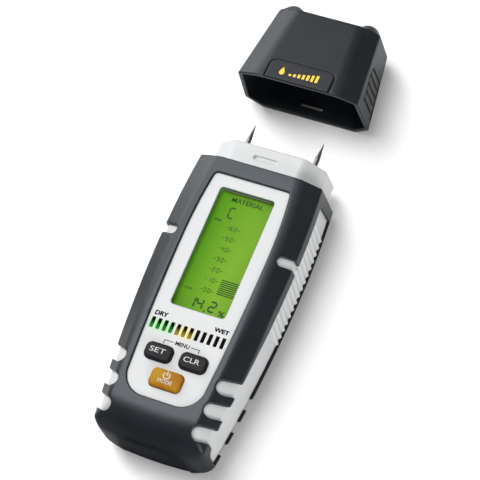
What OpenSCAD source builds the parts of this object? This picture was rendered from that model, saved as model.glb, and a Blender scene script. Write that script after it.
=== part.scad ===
// Two-pin moisture meter lying on its back, display up.
// X runs across the meter, +Y towards the probe pins, +Z out of the display.
// The origin is on the flat back, on the centre line, midway along the grip boot.

/* [Body] */
// Length of the rubber-booted body
body_length = 120; // [116:1:126]
// Height of the body from its back to the front rim
body_height = 30.5; // [30:0.5:34]
// Half width of the body at its widest station
widest_half = 29.4; // [28.5:0.1:31]
// Station along Y where the body is widest
widest_y = 25; // [15:1:30]
// Height of the front edge of the side walls, from the middle to the head
side_top = 26.5; // [26:0.5:27]
// How far the side walls lean in towards the front
side_draft = 0.95; // [0.8:0.05:1]
// Height of the back edge of the side walls
side_bottom = 5.5; // [5:0.5:6]
// Thickness of the rubber boot
boot_wall = 1.2; // [1:0.1:1.4]
// Wall thickness of the hard plastic shells
shell_wall = 2; // [1.6:0.1:2.2]

/* [Front panel] */
// Height of the panel face, just below the boot's rim
panel_z = 29.7; // [29.4:0.1:29.9]
// Width of the display opening
display_w = 23.8; // [22:0.2:25]
// Length of the display opening
display_l = 53; // [50:0.5:54]
// Centre of the display opening along Y
display_y = 21.5; // [21:0.5:22]
// Number of bars in the dry-to-wet row
bar_count = 12; // [10:1:12]
// Spacing of the bars
bar_pitch = 2.75; // [2.4:0.05:2.8]
// Centre of the bar row along Y
bar_y = -14.4; // [-15:0.1:-14]

/* [Keys] */
// Travel of each key
key_travel = 0.7; // [0.5:0.1:0.7]
// Height of the keys above the panel
key_rise = 1.9; // [1.4:0.1:2.2]
// Distance of the two dark keys from the centre line
key_x = 7.4; // [7:0.1:8]
// Centre of the two dark keys along Y
small_key_y = -25.6; // [-26.2:0.1:-25]
// Centre of the amber key along Y
mode_key_y = -35.4; // [-36:0.1:-34.8]

/* [Probe head] */
// Length of the head beyond the boot
head_length = 10.2; // [9:0.1:11]
// Distance between the two pins
pin_spacing = 30.4; // [28:0.2:31]
// Diameter of a pin
pin_d = 2; // [1.6:0.1:2.2]
// Length of a pin beyond the head
pin_reach = 14; // [12:0.5:15]
// Height of the pin axes above the back
pin_z = 13.5; // [13:0.5:14.5]

/* [Cap] */
// Length of the cap's flat front
cap_length = 34.9; // [33:0.1:36]
// Wall thickness of the cap
cap_wall = 1.8; // [1.6:0.1:1.8]
// Distance between the boot and the pulled-off cap
cap_gap = 38.6; // [30:0.1:45]

/* [Battery] */
// Width of the 9 V block
battery_w = 26.5; // [26:0.1:26.5]
// Length of the 9 V block without its terminals
battery_l = 46.4; // [46:0.1:46.8]
// Thickness of the 9 V block
battery_h = 17.3; // [17:0.1:17.5]

/* [Hidden] */

$fn = 48;
body_top = body_length / 2;
body_end = -body_length / 2;

boot_black = [0.13, 0.135, 0.145];
case_white = [0.93, 0.93, 0.94];

// ---- Body form ----
// The body tapers by these amounts per square millimetre away from its widest station.
taper_to_head = 0.00147;
taper_to_end = 0.00085;
corner_r = 4;          // bottom corners, seen from the front
end_bow = 1;           // how far the middle of the bottom end stands beyond its corners
nose_r = 14;           // how the front rolls down to the bottom end
nose_y = body_end + nose_r;
chamfer_end = 5.5;     // width of the front chamfer at the bottom end
chamfer_slope = 0.04;  // how much it widens per millimetre towards the head
back_chamfer = 7;
back_lift = 3;         // how far the back rises in the last few millimetres
edge_drop = 2.5;       // how much lower the side walls' front edge is along the claws
edge_from = -32;       // station where that edge starts to climb
edge_to = 2;           // station where it has reached side_top

function arc_drop(r, d) = d <= 0 ? 0 : r - sqrt(max(r * r - d * d, 0));
function plan_half(y) = widest_half - (y > widest_y ? taper_to_head : taper_to_end) * pow(y - widest_y, 2);
function bow_half(y) = (plan_half(body_end) - corner_r) * sqrt(max(y - body_end + end_bow, 0) / end_bow);
function side_half(y) =
    y < body_end ? bow_half(y) : plan_half(y) - arc_drop(corner_r, body_end + corner_r - y);
function front_half(y) =
    max(side_half(y) - chamfer_end - chamfer_slope * (y - body_end - 10), 0.55 * side_half(y));
function back_half(y) = max(side_half(y) - back_chamfer, 0.6 * side_half(y));
function nose_drop(y) = arc_drop(nose_r, min(nose_y - y, nose_r));
function back_rise(y) = min(max(0, body_end + back_lift - y), back_lift);

// 0 along the claws, 1 from the middle to the head
function edge_share(y) = min(max((y - edge_from) / (edge_to - edge_from), 0), 1);

// An eight-cornered section: front flat, chamfers, leaning side walls and back flat, set in by t.
function section(front, side, top, side_hi, side_lo, back, bottom, lean, t) = [
    [front - 0.35 * t, top - t],
    [side - lean - t, side_hi - 0.48 * t],
    [side - t, side_lo + 0.45 * t],
    [back - 0.4 * t, bottom + t],
    [-back + 0.4 * t, bottom + t],
    [-side + t, side_lo + 0.45 * t],
    [-side + lean + t, side_hi - 0.48 * t],
    [-front + 0.35 * t, top - t]
];
// The body's section at station y, for a surface set in by t from the boot.
function body_section(y, t) =
    let (s = max(y - t, body_end - end_bow), drop = nose_drop(s), share = edge_share(s))
    section(front_half(s), side_half(s), body_height - drop,
            side_top - drop * 0.8 - edge_drop * (1 - share), side_bottom,
            back_half(s), back_rise(s), side_draft * share, t);

// Every section is convex, so each stretch between two neighbours is their hull.
module loft(stations, sections)
    for (i = [0:len(sections) - 2]) hull() {
        count = len(sections[i]);
        polyhedron(
            points = [for (k = [i, i + 1]) for (p = sections[k]) [p[0], stations[k], p[1]]],
            faces = concat(
                [for (j = [0:count - 1])
                    let (k = (j + 1) % count)
                    each [[j, k, k + count], [j, k + count, j + count]]],
                [[for (j = [count - 1:-1:0]) j]], [[for (j = [0:count - 1]) count + j]]));
    }

// Stations crowd together where the bottom end rolls over.
roll_steps = 8;
body_steps = 12;
bow_steps = [0.02, 0.1, 0.3, 0.6];
function body_stations(from, to) = concat(
    [for (step = bow_steps) from - end_bow + step * end_bow],
    [for (i = [0:roll_steps - 1]) from + nose_r * (1 - cos(90 * i / roll_steps))],
    [for (i = [0:body_steps]) from + nose_r + (to - from - nose_r) * i / body_steps]);

module body_solid(t, top = body_top) {
    ys = body_stations(body_end + t, top);
    loft(ys, [for (y = ys) body_section(y, t)]);
}

module slab(z0, z1, y0 = body_end - 5, y1 = body_top + 40, half = 60)
    translate([-half, y0, z0]) cube([2 * half, y1 - y0, z1 - z0]);

module mirrored() {
    children();
    mirror([1, 0, 0]) children();
}

module rounded_rect(w, l, r) {
    translate([-w / 2 + r, -l / 2]) square([w - 2 * r, l]);
    translate([-w / 2, -l / 2 + r]) square([w, l - 2 * r]);
    for (x = [-1, 1], y = [-1, 1]) translate([x * (w / 2 - r), y * (l / 2 - r)]) circle(r);
}

module rounded_block(w, l, r, z0, z1, pos = [0, 0])
    translate([pos[0], pos[1], z0]) linear_extrude(z1 - z0) rounded_rect(w, l, r);

// ---- Panel outline ----
panel_top = 53;
panel_bottom = -44;
panel_widest = 18.2;
function panel_half(y) = panel_widest - (y > widest_y ? 0.0026 : 0.0005) * pow(y - widest_y, 2);
panel_corner = 9.5;
panel_steps = 14;
// One side of the outline, from the bottom's middle up to the top corner.
panel_side = concat(
    [for (a = [0:15:90])
        [panel_half(panel_bottom + panel_corner) - panel_corner * (1 - sin(a)),
         panel_bottom + panel_corner * (1 - cos(a))]],
    [for (i = [1:panel_steps])
        let (from = panel_bottom + panel_corner, y = from + (panel_top - 1.6 - from) * i / panel_steps)
        [panel_half(y), y]],
    [[panel_half(panel_top) - 0.5, panel_top - 0.5], [panel_half(panel_top) - 1.6, panel_top]]);
module panel_outline()
    polygon(concat(panel_side, [for (i = [len(panel_side) - 1:-1:0]) [-panel_side[i][0], panel_side[i][1]]]));

// ---- Where the shells part and the side strip shows ----
split_lo = 6;      // top edge of the back shell
split_hi = 6.5;    // bottom edge of the front shell
strip_z0 = 6.2;
strip_z1 = 21.4;
strip_top = 54.5;
strip_end = -55;

// ---- Slots in the boot that show the white shell ----
claw_pitch = 10.2;
claw_y = [for (i = [0:2]) -27.5 - i * claw_pitch];
claw_r = 2.7;
claw_depth = 7.6;
claw_droop = 3.3;
notch_y = 26;
notch_r = 1.9;
notch_droop = 1;

// A round-ended slot on the +X side: its inner end droops towards the meter's bottom end.
module side_slot(y, r, depth, droop) {
    edge = side_half(y);
    run = depth + 8;
    translate([edge - depth + r, y - droop]) rotate(atan2(droop, depth)) {
        circle(r);
        translate([0, -r]) square([run, 2 * r]);
    }
}

module boot_slots(z0, z1) translate([0, 0, z0]) linear_extrude(z1 - z0) {
    for (y = claw_y) side_slot(y, claw_r, claw_depth, claw_droop);
    side_slot(notch_y, notch_r, claw_depth, notch_droop);
}

// ---- Screws and bosses ----
case_screw_at = [[-20.8, 43.5], [20.8, 43.5], [-18.6, -40], [18.6, -40]];
case_boss_r = 2.7;
case_pilot_r = 1.1;
case_clear_r = 1.5;
case_head_r = 2.8;
case_seat_z = 3;
board_screw_at = [[-15.5, 36], [15.5, 36], [-15.4, -31], [15.4, -31]];
board_post_r = 1.5;
board_screw_r = 0.7;
thread_play = 0.05;

board_z0 = 21.4;
board_z1 = 23;
panel_inner = body_height - boot_wall - shell_wall;  // underside of the front shell's face
window_step = 0.9;

module display_cut(z0, z1, grow = 0)
    rounded_block(display_w + 2 * grow, display_l + 2 * grow, 1.6 + grow, z0, z1, [0, display_y]);

bar_w = 1.15;
bar_l = 4.2;
function bar_x(i) = (i - (bar_count - 1) / 2) * bar_pitch;
module bars(first, last, w, l, z0, z1)
    for (i = [first:last]) translate([bar_x(i) - w / 2, bar_y - l / 2, z0]) cube([w, l, z1 - z0]);

small_key = [11.2, 6.8, 2.3];
mode_key_size = [13.1, 7.5, 1.9];
key_gap = 0.25;
function grown(k, g) = [k[0] + 2 * g, k[1] + 2 * g, k[2] + g];
module key_block(k, pos, z0, z1) rounded_block(k[0], k[1], k[2], z0, z1, pos);
set_at = [-key_x, small_key_y];
clear_at = [key_x, small_key_y];
mode_at = [0, mode_key_y];

// ---- Grip ribs on the white side strip ----
rib_count = 16;
rib_pitch = 3.1;
rib_first = -0.5;
rib_lean = 2.2;
module grip_ribs() {
    rib_r = 0.75;
    for (i = [0:rib_count - 1]) {
        y = rib_first + i * rib_pitch;
        x = side_half(y) - boot_wall - 0.1;
        span = strip_z1 - strip_z0 - 1;
        translate([x, y, strip_z0 + 0.5])
            rotate([-atan2(rib_lean, span), -atan2(side_draft * 0.7, span), 0])
            cylinder(r = rib_r, h = span - 0.2, $fn = 10);
    }
}

module front_shell() color(case_white) difference() {
    union() {
        difference() {
            intersection() {
                body_solid(boot_wall);
                slab(split_hi, panel_z);
            }
            difference() {
                body_solid(boot_wall + shell_wall, body_top + 1);
                for (p = case_screw_at) translate([p[0], p[1], split_hi]) cylinder(r = case_boss_r, h = 30);
                for (p = board_screw_at) translate([p[0], p[1], board_z1]) cylinder(r = board_post_r, h = 10);
            }
        }
        translate([0, 0, panel_inner]) linear_extrude(panel_z - panel_inner) panel_outline();
        mirrored() grip_ribs();
    }
    display_cut(panel_inner - 2, panel_z + 1);
    display_cut(panel_inner - 2, panel_inner + window_step, 1);
    bars(0, bar_count - 1, bar_w + 0.1, bar_l + 0.1, panel_inner - 2, panel_z + 1);
    for (p = [set_at, clear_at]) key_block(grown(small_key, key_gap), p, panel_inner - 2, panel_z + 1);
    key_block(grown(mode_key_size, key_gap), mode_at, panel_inner - 2, panel_z + 1);
    for (p = [set_at, clear_at]) key_block(grown(small_key, 1.2), p, panel_inner - 2, panel_inner);
    key_block(grown(mode_key_size, 1.2), mode_at, panel_inner - 2, panel_inner);
    for (p = case_screw_at) translate([p[0], p[1], split_hi - 1]) cylinder(r = case_pilot_r, h = 13);
    for (p = board_screw_at) translate([p[0], p[1], board_z1 - 1]) cylinder(r = board_screw_r, h = 5);
}

// ---- Battery bay and cover ----
cover_half = 13.9;
cover_lip = 1.2;
cover_top = -5;
cover_end = body_end + 0.4;
cover_z0 = 0.25;
cover_z1 = 3;
lip_z0 = 2.15;
cover_play = 0.25;
pad_h = 0.4;
bay_z0 = 1.6;
bay_h = 14;
bay_half = battery_w / 2 + 0.35;
bay_wall = 1.2;
bay_top = -1.6;
bay_end = -54;
battery_z0 = 3.7;
battery_y1 = -7.2;
battery_y0 = battery_y1 - battery_l;

module back_shell() color(case_white) difference() {
    union() {
        difference() {
            intersection() {
                body_solid(boot_wall);
                slab(-1, split_lo);
            }
            difference() {
                body_solid(boot_wall + shell_wall, body_top + 1);
                for (p = case_screw_at) translate([p[0], p[1], 0])
                    cylinder(r = case_head_r + 1.2, h = split_lo);
            }
        }
        difference() {
            translate([-bay_half - bay_wall, bay_end - bay_wall, bay_z0])
                cube([2 * (bay_half + bay_wall), bay_top - bay_end + 2 * bay_wall, bay_h]);
            translate([-bay_half, bay_end, 0]) cube([2 * bay_half, bay_top - bay_end, 30]);
            // a notch in the end wall for the battery leads
            translate([-11, bay_top - 1, 9]) cube([22, bay_wall + 2, 12]);
        }
    }
    // the cover's opening, its lip grooves and its way out at the bottom end
    translate([-cover_half - cover_play, body_end - 5, -1])
        cube([2 * (cover_half + cover_play), cover_top + cover_play - body_end + 5, battery_z0 + 0.95]);
    translate([-cover_half - cover_lip - cover_play, body_end - 5, lip_z0 - 0.15])
        cube([2 * (cover_half + cover_lip + cover_play), cover_top + cover_play - body_end + 5,
              cover_z1 - lip_z0 + 0.35]);
    for (p = case_screw_at) translate([p[0], p[1], -1]) {
        cylinder(r = case_clear_r, h = split_lo + 3);
        cylinder(r = case_head_r, h = case_seat_z + 1);
    }
}

module front_boot() color(boot_black) difference() {
    intersection() {
        body_solid(0);
        slab(split_lo + 0.3, body_height + 1);
    }
    body_solid(boot_wall - 0.05, body_top + 1);
    translate([0, 0, panel_inner - 5]) linear_extrude(20) offset(delta = 0.25) panel_outline();
    mirrored() {
        boot_slots(strip_z0 + 8, body_height + 1);
        side_window();
    }
    mirrored() translate([0, 0, strip_z0 - 1]) linear_extrude(12) for (y = claw_y)
        translate([side_half(y) - 6, y - claw_r]) square([12, 2 * claw_r]);
}

// The opening along each side wall that leaves the white strip bare.
module side_window() translate([side_half(0) - 14, 0, 0]) rotate([90, 0, 90]) linear_extrude(30)
    polygon([[strip_end + 3, 5], [strip_end, 9], [strip_end, 15.5], [strip_end + 1, 18], [strip_end + 4, 20],
             [strip_end + 9, strip_z1], [strip_top, strip_z1], [strip_top + 0.6, 8], [strip_top - 3, 5]]);

module back_boot() color(boot_black) difference() {
    intersection() {
        body_solid(0);
        slab(-1, split_lo + 0.2);
    }
    body_solid(boot_wall - 0.05, body_top + 1);
    mirrored() translate([0, 0, -1]) linear_extrude(20) for (y = claw_y)
        side_slot(y, claw_r - 0.2, 3.4, 0);
    translate([-cover_half - cover_play, body_end - 5, -1])
        cube([2 * (cover_half + cover_play), cover_top + cover_play - body_end + 5, battery_z0 + 0.95]);
    translate([-cover_half - cover_lip - cover_play, body_end - 5, lip_z0 - 0.15])
        cube([2 * (cover_half + cover_lip + cover_play), 10, cover_z1 - lip_z0 + 0.35]);
    for (p = case_screw_at) translate([p[0], p[1], -1]) cylinder(r = case_head_r + 0.2, h = 10);
    rounded_block(34.6, 22.6, 2.3, -1, 0.5, [0, 32]);
}

module rating_plate() color([0.72, 0.73, 0.75]) rounded_block(34, 22, 2, 0.2, 0.5, [0, 32]);

module case_gasket() color([0.25, 0.25, 0.26]) intersection() {
    difference() {
        body_solid(boot_wall + 0.5, body_top - 1);
        body_solid(boot_wall + 1.5, body_top + 1);
    }
    slab(split_lo, split_hi, body_end - 5, body_top - 1);
}

// ---- Probe head ----
head_inset = 3.4;
head_back = 52;
head_tip = body_top + head_length;
head_front_half = 15.6;
head_half = side_half(body_top) - head_inset + 0.1;
head_draft = 0.85;
function head_section(t) = section(head_front_half, head_half, body_height - head_inset,
    side_top - 6.4, side_bottom + 1.4, head_half - 5.3, head_inset, head_draft, t);
socket_r = 3;
socket_back = 46.5;
socket_tip = head_tip - 2.4;
detent_y = 64.8;
detent_w = 10;

module along_y(r, y0, y1, x = 0, z = 0) translate([x, y0, z]) rotate([-90, 0, 0]) cylinder(r = r, h = y1 - y0);
module at_pins() for (s = [-1, 1]) translate([s * pin_spacing / 2, 0, pin_z]) children();

module probe_head() color(case_white) difference() {
    union() {
        difference() {
            loft([head_back, head_tip - 1, head_tip], [head_section(0), head_section(0), head_section(0.8)]);
            loft([head_back - 1, head_tip - 2.4], [head_section(1.8), head_section(1.8)]);
        }
        intersection() {
            at_pins() along_y(socket_r + 1.6, head_back, head_tip - 1);
            loft([head_back, head_tip - 1], [head_section(0), head_section(0)]);
        }
    }
    at_pins() along_y(socket_r + 0.02, head_back - 1, socket_tip);
    at_pins() along_y(shank_r + 0.05, head_tip - 5, head_tip + 1);
    translate([-detent_w / 2, detent_y - 0.8, body_height - head_inset - 0.6]) cube([detent_w, 1.6, 3]);
    translate([-detent_w / 2, detent_y - 0.8, head_inset - 2.4]) cube([detent_w, 1.6, 3]);
}

pin_seat = 58;
shank_r = pin_d / 2 + 0.5;
tip_taper = 7;
pin_tip = head_tip + pin_reach;
module probe_pin() color([0.62, 0.63, 0.65]) {
    along_y(shank_r, pin_seat, head_tip);
    along_y(pin_d / 2, head_tip, pin_tip - tip_taper);
    translate([0, pin_tip - tip_taper, 0]) rotate([-90, 0, 0])
        cylinder(r1 = pin_d / 2, r2 = 0.08, h = tip_taper);
}
module probe_pin_left() translate([-pin_spacing / 2, 0, pin_z]) probe_pin();
module probe_pin_right() translate([pin_spacing / 2, 0, pin_z]) probe_pin();

module pin_sockets() color([0.8, 0.65, 0.3]) at_pins() difference() {
    along_y(socket_r, socket_back, socket_tip - 0.1);
    along_y(shank_r + 0.02, pin_seat, socket_tip + 1);
}

module socket_nuts() color([0.75, 0.62, 0.35]) at_pins() difference() {
    translate([0, head_back - 2.4, 0]) rotate([-90, 0, 0]) cylinder(r = 4.6, h = 2.4, $fn = 6);
    along_y(socket_r + 0.02, head_back - 4, head_back + 1);
}

module socket_springs() color([0.78, 0.7, 0.45]) at_pins() {
    translate([-1.6, socket_back - 0.5, -2.4]) cube([3.2, 0.5, board_z0 - pin_z + 2.4 - 0.5]);
    translate([-1.6, socket_back - 4, board_z0 - pin_z - 0.5]) cube([3.2, 4, 0.5]);
}

// ---- Display ----
glass_top = panel_inner - 0.2;
glass_h = 1.8;
glass_w = display_w + 2.4;
frame_wall = 0.8;
frame_h = glass_top + 0.1 - board_z1;
glass_l = display_l + 4;
module display_window() color([0.85, 0.95, 0.9, 0.35])
    display_cut(panel_inner - 0.1, panel_inner + window_step - 0.05, 0.85);
module lcd_glass() color([0.45, 0.75, 0.1])
    translate([-glass_w / 2, display_y - glass_l / 2, glass_top - glass_h]) cube([glass_w, glass_l, glass_h]);
module lcd_backlight() color([0.7, 0.95, 0.4])
    translate([-glass_w / 2 + 1.5, display_y - glass_l / 2 + 4, board_z1 + 0.6])
        cube([glass_w - 3, glass_l - 8, glass_top - glass_h - board_z1 - 0.6]);
module lcd_frame() color([0.9, 0.9, 0.9]) difference() {
    translate([-glass_w / 2 - frame_wall, display_y - glass_l / 2 - frame_wall, board_z1])
        cube([glass_w + 2 * frame_wall, glass_l + 2 * frame_wall, frame_h]);
    translate([-glass_w / 2, display_y - glass_l / 2, glass_top - glass_h]) cube([glass_w, glass_l, 10]);
    translate([-glass_w / 2 + 1.5, display_y - glass_l / 2 + 4, board_z1 - 1])
        cube([glass_w - 3, glass_l - 8, 10]);
    for (s = [-1, 1]) translate([-glass_w / 2 + 1.5, display_y + s * (glass_l / 2 - 1.7) - 0.9, board_z1 - 1])
        cube([glass_w - 3, 1.8, 10]);
}
module zebra_strips() color([0.3, 0.3, 0.32]) for (s = [-1, 1])
    translate([-glass_w / 2 + 1.7, display_y + s * (glass_l / 2 - 1.7) - 0.8, board_z1])
        cube([glass_w - 3.4, 1.6, glass_top - glass_h - board_z1]);

// ---- Dry-to-wet bars ----
pipe_z0 = 24.2;
green_last = 3;
yellow_last = 6;
pipe_z1 = panel_z + 0.05;
module green_bars() color([0.2, 0.6, 0.2]) bars(0, green_last, bar_w, bar_l, pipe_z0, pipe_z1);
module yellow_bars() color([0.85, 0.7, 0.2]) bars(green_last + 1, yellow_last, bar_w, bar_l, pipe_z0, pipe_z1);
module red_bars() color([0.1, 0.05, 0.05]) bars(yellow_last + 1, bar_count - 1, bar_w, bar_l, pipe_z0, pipe_z1);
module bar_baffle() color([0.08, 0.08, 0.08]) difference() {
    rounded_block((bar_count - 1) * bar_pitch + 3, bar_l + 1.6, 0.6, board_z1, panel_inner - 0.1, [0, bar_y]);
    bars(0, bar_count - 1, bar_w + 0.1, bar_l + 0.1, board_z1 - 1, panel_inner + 1);
}
module indicator_leds() color([0.95, 0.95, 0.85]) bars(0, bar_count - 1, 0.9, 1.8, board_z1, board_z1 + 0.8);

// ---- Circuit board ----
board_half = 17;
board_end = -46.5;
board_top = 51;
module main_board() color([0.05, 0.4, 0.2]) difference() {
    translate([-board_half, board_end, board_z0])
        cube([2 * board_half, board_top - board_end, board_z1 - board_z0]);
    for (p = board_screw_at) translate([p[0], p[1], board_z0 - 1]) cylinder(r = board_screw_r + 0.2, h = 5);
    for (p = case_screw_at) translate([p[0], p[1], board_z0 - 1]) cylinder(r = case_boss_r + 0.3, h = 5);
}
module board_screws() color([0.7, 0.7, 0.72]) for (p = board_screw_at) translate([p[0], p[1], 0]) {
    translate([0, 0, board_z0 - 0.9]) cylinder(r = 1.6, h = 0.9);
    translate([0, 0, board_z0]) cylinder(r = board_screw_r - thread_play, h = 5);
}
module case_screws() color([0.25, 0.25, 0.27]) for (p = case_screw_at) difference() {
    union() {
        translate([p[0], p[1], case_seat_z - 1.8]) cylinder(r = case_head_r - 0.4, h = 1.8);
        translate([p[0], p[1], case_seat_z]) cylinder(r = case_pilot_r - thread_play, h = 14);
    }
    translate([p[0] - 1.6, p[1] - 0.35, case_seat_z - 2.8]) cube([3.2, 0.7, 2]);
    translate([p[0] - 0.35, p[1] - 1.6, case_seat_z - 2.8]) cube([0.7, 3.2, 2]);
}
module controller_chip() color([0.1, 0.1, 0.1]) translate([-6, 20, board_z0 - 1.4]) cube([12, 12, 1.4]);
module analog_chips() color([0.12, 0.12, 0.12]) for (x = [-12.5, 7.5])
    translate([x, 36.5, board_z0 - 1.6]) cube([5, 6.2, 1.6]);
module board_capacitors() color([0.65, 0.5, 0.3]) for (i = [0:5])
    translate([-13 + i * 4.6, 15, board_z0 - 0.9]) cube([1.6, 0.9, 0.9]);
module buzzer() color([0.15, 0.15, 0.15]) difference() {
    translate([0, 5.6, board_z0 - 5.5]) cylinder(r = 6, h = 5.5);
    translate([0, 5.6, board_z0 - 6.5]) cylinder(r = 1, h = 2);
}

// ---- Keys and their switches ----
switch_h = 2.6;
plunger_r = 1.75;
plunger_fit = 0.05;
key_base = board_z1 + switch_h + key_travel + 0.2;
module switch_bodies() color([0.2, 0.2, 0.22]) for (p = [set_at, clear_at, mode_at])
    translate([p[0], p[1], board_z1]) difference() {
        translate([-3, -3, 0]) cube([6, 6, switch_h]);
        translate([0, 0, 0.8]) cylinder(r = plunger_r + plunger_fit, h = switch_h);
    }
module plunger(at) color([0.85, 0.83, 0.75])
    translate([at[0], at[1], board_z1 + 1.6]) cylinder(r = plunger_r, h = key_base - board_z1 - 1.6);
module key(k, at) {
    key_block(k, at, key_base, panel_z + key_rise);
    key_block(grown(k, 0.85), at, key_base, panel_inner - 0.15);
}
module set_key() color(boot_black) key(small_key, set_at);
module clear_key() color(boot_black) key(small_key, clear_at);
module mode_key() color([0.8, 0.5, 0.1]) key(mode_key_size, mode_at);
module set_plunger() plunger(set_at);
module clear_plunger() plunger(clear_at);
module mode_plunger() plunger(mode_at);

// ---- Battery ----
terminal_x = 6.35;
terminal_h = 2.2;
battery_mid_z = battery_z0 + battery_h / 2;
module battery() color([0.2, 0.22, 0.26])
    translate([0, battery_y1, battery_mid_z]) rotate([90, 0, 0]) linear_extrude(battery_l)
        rounded_rect(battery_w, battery_h, 2);
module battery_terminals() color([0.8, 0.8, 0.8]) {
    along_y(2.9, battery_y1, battery_y1 + terminal_h, -terminal_x, battery_mid_z);
    translate([terminal_x, battery_y1, battery_mid_z]) rotate([-90, 0, 0])
        cylinder(r = 3.9, h = terminal_h, $fn = 6);
}
module battery_snap() color([0.1, 0.1, 0.1])
    translate([-12, battery_y1 + terminal_h, battery_mid_z - 5.5]) cube([24, 2, 11]);

// A tube swept along a smooth line through a few points.
function spline(p, i, t) =
    let (a = p[max(i - 1, 0)], b = p[i], c = p[i + 1], d = p[min(i + 2, len(p) - 1)])
    0.5 * (2 * b + (c - a) * t + (2 * a - 5 * b + 4 * c - d) * t * t + (3 * b - a - 3 * c + d) * t * t * t);
function path_points(p, steps) = concat(
    [for (i = [0:len(p) - 2]) for (s = [0:steps - 1]) spline(p, i, s / steps)], [p[len(p) - 1]]);
module tube(knots, r, steps = 4, sides = 8) {
    path = path_points(knots, steps);
    last = len(path) - 1;
    rings = [for (i = [0:last])
        let (d = path[min(i + 1, last)] - path[max(i - 1, 0)], n = d / norm(d),
             u = cross(n, [1, 0.2, 0.1]) / norm(cross(n, [1, 0.2, 0.1])), v = cross(n, u))
        for (k = [0:sides - 1]) path[i] + r * (cos(360 * k / sides) * u + sin(360 * k / sides) * v)];
    walls = [for (i = [0:last - 1]) for (k = [0:sides - 1])
        let (q = (k + 1) % sides)
        each [[i * sides + k, (i + 1) * sides + k, (i + 1) * sides + q],
              [i * sides + k, (i + 1) * sides + q, i * sides + q]]];
    polyhedron(points = rings, faces = concat(walls, [[for (k = [0:sides - 1]) k]],
        [[for (k = [sides - 1:-1:0]) last * sides + k]]), convexity = 4);
}
snap_back = battery_y1 + terminal_h + 2;
// Each lead runs from the snap over the bay's end wall and up into the board.
function lead_route(side) = [
    [side * 8, snap_back + 0.15, 12], [side * 8, snap_back + 1.8, 12], [side * 9, 2, 14],
    [side * 10.5, 5, 17.2], [side * 11, 7.5, 19.4], [side * 11, 7.6, board_z0 - 0.1]];
module red_lead() color([0.75, 0.1, 0.08]) tube(lead_route(1), 0.7);
module black_lead() color([0.08, 0.08, 0.08]) tube(lead_route(-1), 0.7);

// ---- Battery cover ----
module battery_cover() color([0.16, 0.165, 0.175]) difference() {
    union() {
        intersection() {
            translate([-cover_half, cover_end, cover_z0])
                cube([2 * cover_half, cover_top - cover_end, cover_z1 - cover_z0]);
            body_solid(0.15);
        }
        translate([-cover_half - cover_lip, cover_end + 4, lip_z0])
            cube([2 * (cover_half + cover_lip), cover_top - 1 - cover_end - 4, cover_z1 - lip_z0]);
    }
    for (i = [0:4]) translate([-7, cover_top - 8 - i * 2.2, cover_z0 - 1]) cube([14, 1.1, 1.5]);
}
module cover_pad() color([0.3, 0.3, 0.3])
    translate([-9, -44, cover_z1]) cube([18, 26, pad_h]);

// ---- Cap ----
cap_y = body_top + cap_gap;
cap_end = cap_y + cap_length;
mouth_half = side_half(body_top) + 0.3;
// both ends of the cap: the values that section() takes, in its order
cap_mouth = [front_half(body_top), mouth_half, body_height, side_top + 0.8, side_bottom,
             mouth_half - back_chamfer, 0, 1.4];
cap_tip = [14, 22.9, 26.7, 23.3, 5.5, 16.9, 1.2, 0.5];
function cap_section(y, t) =
    let (s = (y - cap_y) / cap_length, m = cap_mouth + (cap_tip - cap_mouth) * s)
    section(m[0], m[1], m[2], m[3], m[4], m[5], m[6], m[7], t);
lobe_x = 16.6;
lobe_r = 5.2;
lobe_rise = 3.5;
module cap_solid(t, from, to) {
    ys = [from, to - 1.6, to - 0.5, to];
    insets = [t, t, t + 0.5, t + 1.6];
    loft(ys, [for (i = [0:3]) cap_section(ys[i], insets[i])]);
}
// Rounded lobes that stand out of the closed end, over the pin tips.
module cap_lobes() mirrored() translate([lobe_x, cap_end + lobe_rise - lobe_r, 13.5]) hull() {
    sphere(r = lobe_r, $fn = 24);
    translate([0, 0, 6.5]) sphere(r = lobe_r, $fn = 24);
}
module cap_shell() color([0.2, 0.21, 0.22]) {
    difference() {
        union() {
            cap_solid(0, cap_y, cap_end);
            intersection() {
                cap_lobes();
                slab(cap_section(cap_end, 0)[3][1], 30, cap_y, cap_end + 10);
            }
        }
        cap_solid(cap_wall, cap_y - 1, cap_end - 2);
    }
    for (z = [[1.4, 1], [body_height - 2.9, 1]])
        translate([-4.7, cap_y + detent_y - body_top - 0.4, z[0]]) cube([9.4, 0.8, z[1]]);
}
module cap_badge() color([0.24, 0.25, 0.26]) intersection() {
    difference() {
        cap_solid(-0.45, cap_y, cap_end);
        cap_solid(0, cap_y - 1, cap_end + 1);
    }
    rounded_block(27.6, 22, 3, 20, 40, [0, cap_y - 2]);
    slab(20, 40, cap_y + 0.3, cap_end);
}
grip_pitch = 3.85;
grip_lean = 4;
module cap_grips() color([0.2, 0.21, 0.22]) mirrored() intersection() {
    difference() {
        cap_solid(-0.6, cap_y, cap_end);
        cap_solid(0, cap_y - 1, cap_end + 1);
    }
    for (i = [0:3]) translate([15, cap_y + 5 + i * grip_pitch, 6.5]) rotate([-grip_lean, 0, 0])
        cube([15, grip_pitch - 0.8, 17]);
}

front_shell();
back_shell();
front_boot();
back_boot();
case_gasket();
probe_head();
probe_pin_left();
probe_pin_right();
pin_sockets();
socket_nuts();
socket_springs();
display_window();
lcd_glass();
lcd_backlight();
lcd_frame();
zebra_strips();
green_bars();
yellow_bars();
red_bars();
bar_baffle();
indicator_leds();
main_board();
controller_chip();
analog_chips();
board_capacitors();
buzzer();
switch_bodies();
board_screws();
case_screws();
set_key();
set_plunger();
clear_key();
clear_plunger();
mode_key();
mode_plunger();
battery();
battery_terminals();
battery_snap();
red_lead();
black_lead();
battery_cover();
cover_pad();
rating_plate();
cap_shell();
cap_badge();
cap_grips();
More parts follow.
